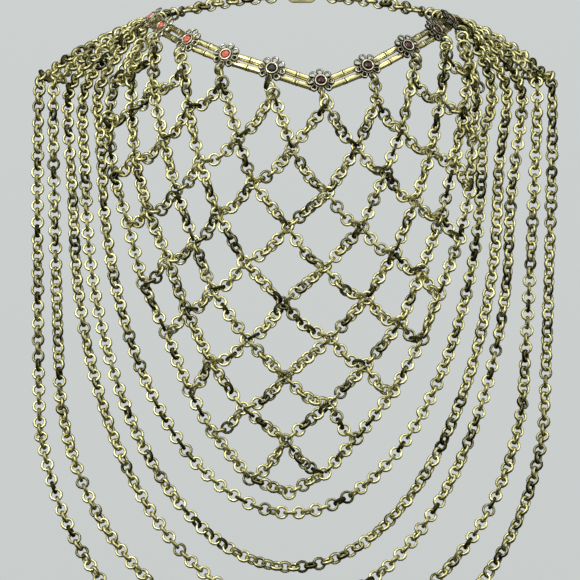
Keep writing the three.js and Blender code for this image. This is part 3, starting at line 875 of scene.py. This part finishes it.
class NECKLACE_OT_stage(bpy.types.Operator):
    """Makes the pale floor, the dark card, the soft lights and the camera"""

    bl_idname = "necklace.stage"
    bl_label = "Stage"

    def execute(self, context):
        self.floor()
        self.flag()
        self.lights(context)
        self.camera(context)
        return {"FINISHED"}

    def floor(self):
        """A wide pale floor under the necklace."""
        bm = bmesh.new()
        place = Matrix.Translation((0, 0, LOW.z - FLOOR_DROP))
        bmesh.ops.create_grid(bm, x_segments=1, y_segments=1, size=FLOOR_SIZE, matrix=place)
        bmesh_object("floor", bm, paper_material())

    def flag(self):
        """A dark card under and behind the necklace, which only its metal mirrors."""
        low = LOW.z - FLOOR_DROP + FLAG_LIFT
        wall_y = HIGH.y + FLAG_BEHIND
        bm = bmesh.new()
        profile = [(-FLAG_SIZE, low), (wall_y, low), (wall_y, FLAG_SIZE)]
        corners = [bm.verts.new((-FLAG_SIZE, y, z)) for y, z in profile]
        edges = [bm.edges.new(pair) for pair in zip(corners, corners[1:])]
        edge = bmesh.ops.extrude_edge_only(bm, edges=edges)["geom"]
        across = [item for item in edge if isinstance(item, bmesh.types.BMVert)]
        bmesh.ops.translate(bm, vec=(2 * FLAG_SIZE, 0, 0), verts=across)
        card = bmesh_object("dark_flag", bm, card_material())
        card.visible_camera = False
        card.visible_diffuse = False
        card.visible_shadow = False

    def lights(self, context):
        """A broad key from the upper left, a fill from the right and one from above."""
        world = bpy.data.worlds.new("soft_room")
        context.scene.world = world
        world.use_nodes = True
        tree = world.node_tree
        background = tree.nodes["Background"]
        background.inputs["Color"].default_value = (0.93, 0.975, 0.965, 1)
        direction = node(tree, "ShaderNodeTexCoord").outputs["Generated"]
        height = node(tree, "ShaderNodeSeparateXYZ")
        tree.links.new(direction, height.inputs[0])
        bright = spread(tree, height.outputs["Z"], -0.05, 0.5, 0.6, 1.05)
        tree.links.new(bright, background.inputs["Strength"])
        context.scene.view_settings.view_transform = "Standard"
        target = Vector(LAMP_TARGET)
        for row in LAMPS:
            lamp = bpy.data.lights.new(row["name"], "AREA")
            lamp.shape = "SQUARE"
            lamp.size = row["size"]
            lamp.energy = row["power"]
            holder = bpy.data.objects.new(row["name"], lamp)
            context.scene.collection.objects.link(holder)
            place = Vector(row["place"])
            holder.location = place
            holder.rotation_euler = (target - place).to_track_quat("-Z", "Y").to_euler()

    def camera(self, context):
        """Level with the middle of the net and straight in front."""
        camera = bpy.data.cameras.new("camera")
        camera.sensor_width = SENSOR
        camera.lens = SENSOR * CAMERA_DISTANCE / VIEW_WIDTH
        camera.clip_end = 20
        holder = bpy.data.objects.new("camera", camera)
        context.scene.collection.objects.link(holder)
        x, z = VIEW_CENTRE
        holder.location = Vector((x, VIEW_PLANE_Y - CAMERA_DISTANCE, z)) * MM
        holder.rotation_euler = (90 * DEGREE, 0, 0)
        context.scene.camera = holder


class NECKLACE_OT_net(bpy.types.Operator):
    """Makes the diamond net of chain and the links that hang it on the flowers"""

    bl_idname = "necklace.net"
    bl_label = "Chain Net"

    def execute(self, context):
        sizes = context.scene.necklace_chain
        chance = random.Random(11)
        link = plain_link(sizes)
        wire = (sizes.wire_width, sizes.wire_depth, sizes.link_steps)
        big_link = ring_template(sizes.junction_radius, *wire)
        links, joints = [], []
        for start, end, sag in net_strands():
            middle = bib_point((start.x + end.x) / 2, (start.z + end.z) / 2 - sag)
            path = smooth_path([start, middle, end], 8)
            links += chain_between(path, bib_normal, chance)
        for row, line in enumerate(JUNCTIONS):
            for place in range(len(line["x"])):
                joints.append(self.joint(junction(row, line["first"] + place), chance))
        joints.append(self.joint(bib_point(*NET_TIP), chance))
        for index in range(FLOWERS):
            links += self.hanger(index, chance)
        piece = chain_object("net_chain", [(link, links), (big_link, joints)], chance)
        piece.data.materials.append(shared("aged_and_shaded_chain_brass", chain_material))
        settle(piece, "chain_brass", "chain_net")
        return {"FINISHED"}

    def joint(self, centre, chance):
        """The link where strands meet lies nearly flat in the net."""
        tilt = Vector([chance.gauss(0, JOINT_TILT_SPREAD) for _ in range(3)])
        return ring_pose(centre, Vector((1, 0, 0)), bib_normal(centre) + tilt)

    def hanger(self, index, chance):
        """An edge-on link through the lowest petal, and the chain from it to the net."""
        radius = bpy.context.scene.necklace_chain.link_radius / MM
        out = PETAL_BACK + PETAL_THICKNESS / 2
        centre = on_flower(index, 0, -PETAL_ORBIT - radius, out)
        across = flower_frame(index)[1]
        end = junction(0, index)
        path = [centre, centre.lerp(end, 0.5), end]
        rest = chain_between(path, bib_normal, chance, 90 * DEGREE)
        return [ring_pose(centre, Vector((0, 0, -1)), across), *rest]


class NECKLACE_OT_drapes(bpy.types.Operator):
    """Makes the five long drapes of chain"""

    bl_idname = "necklace.drapes"
    bl_label = "Chain Drapes"

    def execute(self, context):
        sizes = context.scene.necklace_chain
        link = plain_link(sizes)
        for index in range(len(DRAPES)):
            chance = random.Random(40 + index)
            left, left_rod = self.half(index, -1)
            right, right_rod = self.half(index, 1)
            path = smooth_path([*left, *reversed(right[:-1])], 6)
            poses = [left_rod, *chain_between(path, outward, chance), right_rod]
            name = f"chain_drape_{index + 1}"
            piece = chain_object(f"drape_chain_{index + 1}", [(link, poses)], chance)
            piece.data.materials.append(shared("aged_and_shaded_chain_brass", chain_material))
            settle(piece, "chain_brass", name)
        return {"FINISHED"}

    def half(self, index, side):
        """Half of a drape, from the link round the rod to the lowest point."""
        drape = DRAPES[index]
        share = index / (len(DRAPES) - 1)
        points = []
        for inner, outer in zip(INNER_RUN, OUTER_RUN):
            pick = 0 if side < 0 else 1
            a = Vector((inner[pick], inner[2], inner[3]))
            points.append(a.lerp(Vector((outer[pick], outer[2], outer[3])), share))
        top = drape["bottom"] + drape["swing"]
        side_y = DRAPE_SIDE[0] + (DRAPE_SIDE[1] - DRAPE_SIDE[0]) * share
        for step in range(SWING_STEPS + 1):
            angle = step / SWING_STEPS * 90 * DEGREE
            x = DRAPE_X + side * drape["half_width"] * math.cos(angle)
            y = side_y + (DRAPE_FRONT - side_y) * math.sin(angle)
            points.append(Vector((x, y, top - drape["swing"] * math.sin(angle))))
        angle = ROD_FIRST_DRAPE + index * ROD_DRAPE_STEP
        on_rod = back_point(side, angle)
        axis = (back_point(side, angle + DEGREE) - on_rod).normalized()
        away = points[0] - on_rod
        away = (away - axis * away.dot(axis)).normalized()
        sizes = bpy.context.scene.necklace_chain
        inside = (sizes.link_radius - sizes.wire_width / 2) / MM
        centre = on_rod + away * (inside - ROD_RADIUS - GAP / 2)
        return [centre, *points], ring_pose(centre, away, axis)


class NECKLACE_OT_back(bpy.types.Operator):
    """Makes the two chains at the back of the collar and the plain clasp between them"""

    bl_idname = "necklace.back"
    bl_label = "Back Chains and Clasp"

    def execute(self, context):
        sizes = context.scene.necklace_chain
        link = plain_link(sizes)
        radius = sizes.link_radius / MM
        for side, name in ((-1, "left"), (1, "right")):
            chance = random.Random(70 + side)
            eye = back_point(side, ROD_END)
            onward = (back_point(side, ROD_END + 5 * DEGREE) - eye).normalized()
            aside = side * (CLASP_LENGTH / 2 - CLASP_HOLE_INSET)
            hole = back_point(side, math.pi) + Vector((aside, 0, 0))
            first = eye + onward * radius
            last = hole + Vector((side * radius, 0, 0))
            middle = []
            for step in range(2, BACK_CHAIN_STEPS):
                share = step / BACK_CHAIN_STEPS
                middle.append(back_point(side, ROD_END + share * (BACK_CHAIN_END - ROD_END)))
            flat = onward.cross(Vector((0, 0, 1))).normalized().cross(onward).normalized()
            path = smooth_path([first, *middle, last], 6)
            poses = [ring_pose(first, onward, flat), *chain_between(path, self.away, chance)]
            poses.append(ring_pose(last, Vector((side, 0, 0)), Vector((0, 0, 1))))
            piece = chain_object(f"nape_chain_{name}", [(link, poses)], chance)
            piece.data.materials.append(shared("aged_and_shaded_chain_brass", chain_material))
            settle(piece, "chain_brass", f"back_chain_{name}")
        self.clasp()
        return {"FINISHED"}

    def away(self, point):
        return Vector((point.x, point.y, 6)).normalized()

    def clasp(self):
        """A plain oval plate with a hole at each end and rounded edges."""
        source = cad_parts["clasp"].data
        bm = bmesh.new()
        bm.from_mesh(source)
        bmesh.ops.remove_doubles(bm, verts=bm.verts, dist=0.01 * MM)
        bmesh.ops.dissolve_limit(bm, angle_limit=3 * DEGREE, verts=bm.verts, edges=bm.edges)
        edges = [e for e in bm.edges if e.is_manifold and e.calc_face_angle() > 60 * DEGREE]
        bmesh.ops.bevel(
            bm,
            geom=edges,
            offset=CLASP_ROUNDING * MM,
            offset_type="OFFSET",
            affect="EDGES",
            segments=3,
            profile=0.5,
            material=-1,
        )
        bmesh.ops.triangulate(bm, faces=[f for f in bm.faces if len(f.verts) > 4])
        tarnish = bm.verts.layers.float.new("tarnish")
        bm.verts.layers.float.new("painted_shade")
        for vert in bm.verts:
            vert[tarnish] = CLASP_TARNISH
        piece = bmesh_object("clasp_plate", bm, shared("aged_and_shaded_chain_brass", chain_material))
        settle(piece, "chain_brass", "clasp")


class NECKLACE_OT_flowers(bpy.types.Operator):
    """Makes the ten flowers with their raised settings, and the rods of the end flowers"""

    bl_idname = "necklace.flowers"
    bl_label = "Flowers"

    def execute(self, context):
        for index in range(FLOWERS):
            bm = bmesh.new()
            wear_and_sheen = bm.verts.layers.float.new("wear_and_sheen")
            paleness = max(PALEST_FLOWER - index * PALENESS_STEP, 0)
            self.petals(bm, wear_and_sheen)
            self.setting(bm, wear_and_sheen)
            self.back(bm, wear_and_sheen)
            for vert in bm.verts:
                vert[wear_and_sheen] = min(vert[wear_and_sheen] + paleness, 1)
            bmesh.ops.transform(bm, matrix=flower_matrix(index), verts=bm.verts)
            if index in (0, FLOWERS - 1):
                self.rod(bm, wear_and_sheen, index)
            material = shared("dark_flower_metal", flower_material)
            piece = bmesh_object(f"petal_flower_{index + 1}", bm, material)
            settle(piece, "flower_metal", f"flower_{index + 1}")
        return {"FINISHED"}

    def petals(self, bm, wear_and_sheen):
        """Eight loops of thick wire, each narrower towards the middle."""
        wire = bpy.context.scene.necklace_collar.petal_wire / MM
        inside = PETAL_RADIUS - wire / 2
        outside = PETAL_RADIUS + wire / 2
        # The last column: rubbed wear, with a painted highlight along the front inner ridge.
        profile = [
            (inside, PETAL_BACK + 0.15, 0.0),
            (inside + 0.15, PETAL_BACK, 0.0),
            (outside, PETAL_BACK, 0.0),
            (outside, PETAL_FRONT - 0.2, 0.0),
            (outside - 0.25, PETAL_FRONT + 0.05, 0.05),
            (inside + 0.45, PETAL_FRONT + 0.2, 0.6),
            (inside + 0.15, PETAL_FRONT + 0.1, 0.6),
            (inside, PETAL_FRONT - 0.2, 0.0),
        ]
        for petal in range(PETALS):
            angle = petal / PETALS * 2 * math.pi - math.pi / 2
            made = turned(bm, wear_and_sheen, profile, 20, closed=True)
            for vert in made:
                inward = (1 - vert.co.x / (PETAL_RADIUS * MM)) / 2
                vert[wear_and_sheen] *= 1.25 - inward
                vert.co.y *= 1.04 - 0.34 * max(inward, 0)
                vert.co.x *= 1.0 + 0.1 * inward
                vert.co.z += 0.25 * MM * (inward - 0.4)
            place = Matrix.Rotation(angle, 4, "Z") @ Matrix.Translation((PETAL_ORBIT * MM, 0, 0))
            bmesh.ops.transform(bm, matrix=place, verts=made)

    def setting(self, bm, wear_and_sheen):
        """A tall cup with a rounded rim, inside a ring of small grains."""
        top = PETAL_FRONT + SETTING_HEIGHT
        profile = [
            (0, PETAL_BACK, 0.0),
            (GRAIN_ORBIT, PETAL_BACK, 0.0),
            (GRAIN_ORBIT + 0.1, PETAL_FRONT - 0.1, 0.0),
            (SETTING_RADIUS + 0.1, PETAL_FRONT, 0.0),
            (SETTING_RADIUS, PETAL_FRONT + 0.3, 0.1),
            (SETTING_RADIUS, top - 0.3, 0.15),
            (SETTING_RADIUS - 0.1, top - 0.08, 0.6),
            (SETTING_RADIUS - 0.3, top, 1.0),
            (SETTING_RADIUS - 0.52, top - 0.03, 1.0),
            (SETTING_RADIUS - 0.68, top - 0.2, 0.5),
            (SETTING_RADIUS - 0.75, top - 0.6, 0.0),
            (SEAT_RADIUS, top - 0.8, 0.0),
            (SEAT_RADIUS, PETAL_FRONT + 0.05, 0.0),
            (0, PETAL_FRONT + 0.05, 0.0),
        ]
        turned(bm, wear_and_sheen, profile, 32)
        for grain in range(GRAINS):
            angle = grain / GRAINS * 2 * math.pi
            x, y = GRAIN_ORBIT * math.cos(angle), GRAIN_ORBIT * math.sin(angle)
            spot = Vector((x, y, PETAL_FRONT))
            made = bmesh.ops.create_icosphere(
                bm,
                subdivisions=1,
                radius=GRAIN_RADIUS * MM,
                matrix=Matrix.Translation(spot * MM),
            )
            for vert in made["verts"]:
                vert[wear_and_sheen] = 0.55 if vert.co.z > spot.z * MM else 0.0

    def back(self, bm, wear_and_sheen):
        """The disc behind the petals, and a grommet at each end of its two thread holes."""
        profile = [
            (0, BACK_DEPTH),
            (BACK_RADIUS - 0.4, BACK_DEPTH),
            (BACK_RADIUS - 0.1, BACK_DEPTH + 0.35),
            (BACK_RADIUS - 0.1, PETAL_BACK - 0.2),
            (BACK_RADIUS - 0.4, PETAL_BACK + 0.1),
            (0, PETAL_BACK + 0.1),
        ]
        turned(bm, wear_and_sheen, [(r, h, 0.15) for r, h in profile], 32)
        half = [
            (0, GROMMET_REACH - 0.9),
            (THREAD_HOLE, GROMMET_REACH - 0.9),
            (THREAD_HOLE, GROMMET_REACH),
            (GROMMET_RADIUS - 0.1, GROMMET_REACH),
            (GROMMET_RADIUS, GROMMET_REACH - 0.2),
        ]
        hole = half + [(r, -h) for r, h in reversed(half)]
        for row in ROWS.values():
            across = Matrix.Translation((0, row * ROW_OFFSET * MM, 0))
            place = across @ Matrix.Rotation(90 * DEGREE, 4, "Y")
            turned(bm, wear_and_sheen, [(r, h, 0.2) for r, h in hole], 16, place)

    def rod(self, bm, wear_and_sheen, index):
        """The end rod, back along the collar to its eye."""
        side = -1 if index == 0 else 1
        end = back_point(side, ROD_END)
        inward = (back_point(side, ROD_END - 4 * DEGREE) - end).normalized()
        points = [on_flower(index, side * (BACK_RADIUS - 1), 0, 0)]
        points += [back_point(side, angle * DEGREE) for angle in ROD_BENDS]
        points.append(end + inward * EYE_RADIUS)
        swept(bm, smooth_path(points, 3), ROD_RADIUS, 12)
        section = []
        for step in range(EYE_SIDES):
            angle = step / EYE_SIDES * 2 * math.pi
            x, y = EYE_RADIUS + EYE_WIRE * math.cos(angle), EYE_WIRE * math.sin(angle)
            section.append((x, y, EYE_WEAR))
        axis = Vector((inward.y, -inward.x, 0)).normalized()
        place = Matrix.Translation(end * MM) @ axis.to_track_quat("Z", "Y").to_matrix().to_4x4()
        turned(bm, wear_and_sheen, section, 20, place, closed=True)


class NECKLACE_OT_stones(bpy.types.Operator):
    """Makes the ten cut stones"""

    bl_idname = "necklace.stones"
    bl_label = "Stones"

    def execute(self, context):
        for index in range(FLOWERS):
            kind = next(kind for kind in STONES if index < kind["up_to"])
            material = shared(kind["name"], stone_material, kind)
            bm = self.cut(index)
            piece = bmesh_object(f"cut_stone_{index + 1}", bm, material, smooth_angle=4)
            settle(piece, kind["slot"], f"stone_{index + 1}")
        return {"FINISHED"}

    def cut(self, index):
        """A round stone: the hull round its table, star points, girdle and pointed back."""
        bm = bmesh.new()
        for radius, height, points, turn in STONE_RINGS:
            for step in range(points):
                angle = (step + turn) / points * 2 * math.pi
                x, y = radius * math.cos(angle), radius * math.sin(angle)
                bm.verts.new(Vector((x, y, STONE_SEAT + height)) * MM)
        bmesh.ops.convex_hull(bm, input=bm.verts)
        bmesh.ops.dissolve_limit(bm, angle_limit=1 * DEGREE, verts=bm.verts, edges=bm.edges)
        bmesh.ops.transform(bm, matrix=flower_matrix(index), verts=bm.verts)
        return bm


class NECKLACE_OT_bars(bpy.types.Operator):
    """Makes the two rows of bamboo bars and the threads inside them"""

    bl_idname = "necklace.bars"
    bl_label = "Bars and Threads"

    def execute(self, context):
        for row in ROWS:
            for index in range(FLOWERS - 1):
                self.bar(row, index)
            self.thread(row)
        return {"FINISHED"}

    def bar(self, row, index):
        """A drilled bar with a knuckle midway and a lip at each end."""
        offset = ROWS[row] * ROW_OFFSET
        start = on_flower(index, BAR_START, offset, 0)
        end = on_flower(index + 1, -BAR_START, offset, 0)
        length = (end - start).length
        radius = bpy.context.scene.necklace_collar.bar_radius / MM
        middle = length / 2
        # The last column is painted shade in the grooves and at the ends.
        half = [
            (BAR_BORE, 0.0, 1.0),
            (radius, 0.0, 0.6),
            (radius + 0.14, 0.15, 0.1),
            (radius + 0.16, 0.6, 0.0),
            (radius + 0.02, 1.0, 0.5),
            (radius - 0.04, 1.4, 0.1),
            (radius, length * 0.24, 0.0),
            (radius, middle - 1.9, 0.0),
            (radius + 0.02, middle - 1.3, 0.3),
            (radius + 0.16, middle - 0.95, 0.0),
            (radius + 0.18, middle - 0.4, 0.0),
            (radius + 0.08, middle - 0.25, 0.6),
            (radius - 0.25, middle - 0.16, 1.0),
            (radius - 0.3, middle, 1.0),
        ]
        profile = half + [(r, length - h, deep) for r, h, deep in reversed(half[:-1])]
        bm = bmesh.new()
        painted_shade = bm.verts.layers.float.new("painted_shade")
        turned(bm, painted_shade, profile, 20, closed=True)
        turn = (end - start).to_track_quat("Z", "Y").to_matrix().to_4x4()
        bmesh.ops.transform(bm, matrix=Matrix.Translation(start * MM) @ turn, verts=bm.verts)
        material = shared("bamboo_bar_brass", bar_material)
        piece = bmesh_object(f"bamboo_{row}_{index + 1}", bm, material)
        settle(piece, "bar_brass", f"bar_{row}_{index + 1}")

    def thread(self, row):
        """A waxed thread from one end flower to the other."""
        offset = ROWS[row] * ROW_OFFSET
        points = []
        for index in range(FLOWERS):
            for side in (-1, 1):
                outermost = index == (0 if side < 0 else FLOWERS - 1)
                reach = THREAD_END if outermost else BAR_START
                points.append(on_flower(index, side * reach, offset, 0))
        bm = bmesh.new()
        swept(bm, smooth_path(points, 3), THREAD_RADIUS, 12)
        piece = bmesh_object(f"string_{row}", bm, shared("waxed_thread", thread_material))
        settle(piece, "thread", f"thread_{row}")


class NECKLACE_PT_panel(bpy.types.Panel):
    """Lists the pieces of the necklace and their sizes"""

    bl_label = "Bib Necklace"
    bl_idname = "NECKLACE_PT_panel"
    bl_space_type = "VIEW_3D"
    bl_region_type = "UI"
    bl_category = "Necklace"

    def draw(self, context):
        for group in (context.scene.necklace_chain, context.scene.necklace_collar):
            box = self.layout.box()
            for name in group.bl_rna.properties.keys():
                if name not in ("rna_type", "name"):
                    box.prop(group, name)
        for operator in OPERATORS:
            self.layout.operator(operator.bl_idname)


OPERATORS = (
    NECKLACE_OT_stage,
    NECKLACE_OT_net,
    NECKLACE_OT_drapes,
    NECKLACE_OT_back,
    NECKLACE_OT_flowers,
    NECKLACE_OT_stones,
    NECKLACE_OT_bars,
)
CLASSES = (ChainSizes, CollarSizes, *OPERATORS, NECKLACE_PT_panel)


def register():
    for cls in CLASSES:
        bpy.utils.register_class(cls)
    bpy.types.Scene.necklace_chain = bpy.props.PointerProperty(type=ChainSizes)
    bpy.types.Scene.necklace_collar = bpy.props.PointerProperty(type=CollarSizes)


def unregister():
    del bpy.types.Scene.necklace_collar
    del bpy.types.Scene.necklace_chain
    for cls in reversed(CLASSES):
        bpy.utils.unregister_class(cls)


def main():
    register()
    bpy.ops.necklace.stage()
    bpy.ops.necklace.net()
    bpy.ops.necklace.drapes()
    bpy.ops.necklace.back()
    bpy.ops.necklace.flowers()
    bpy.ops.necklace.stones()
    bpy.ops.necklace.bars()


if __name__ == "__main__":
    main()
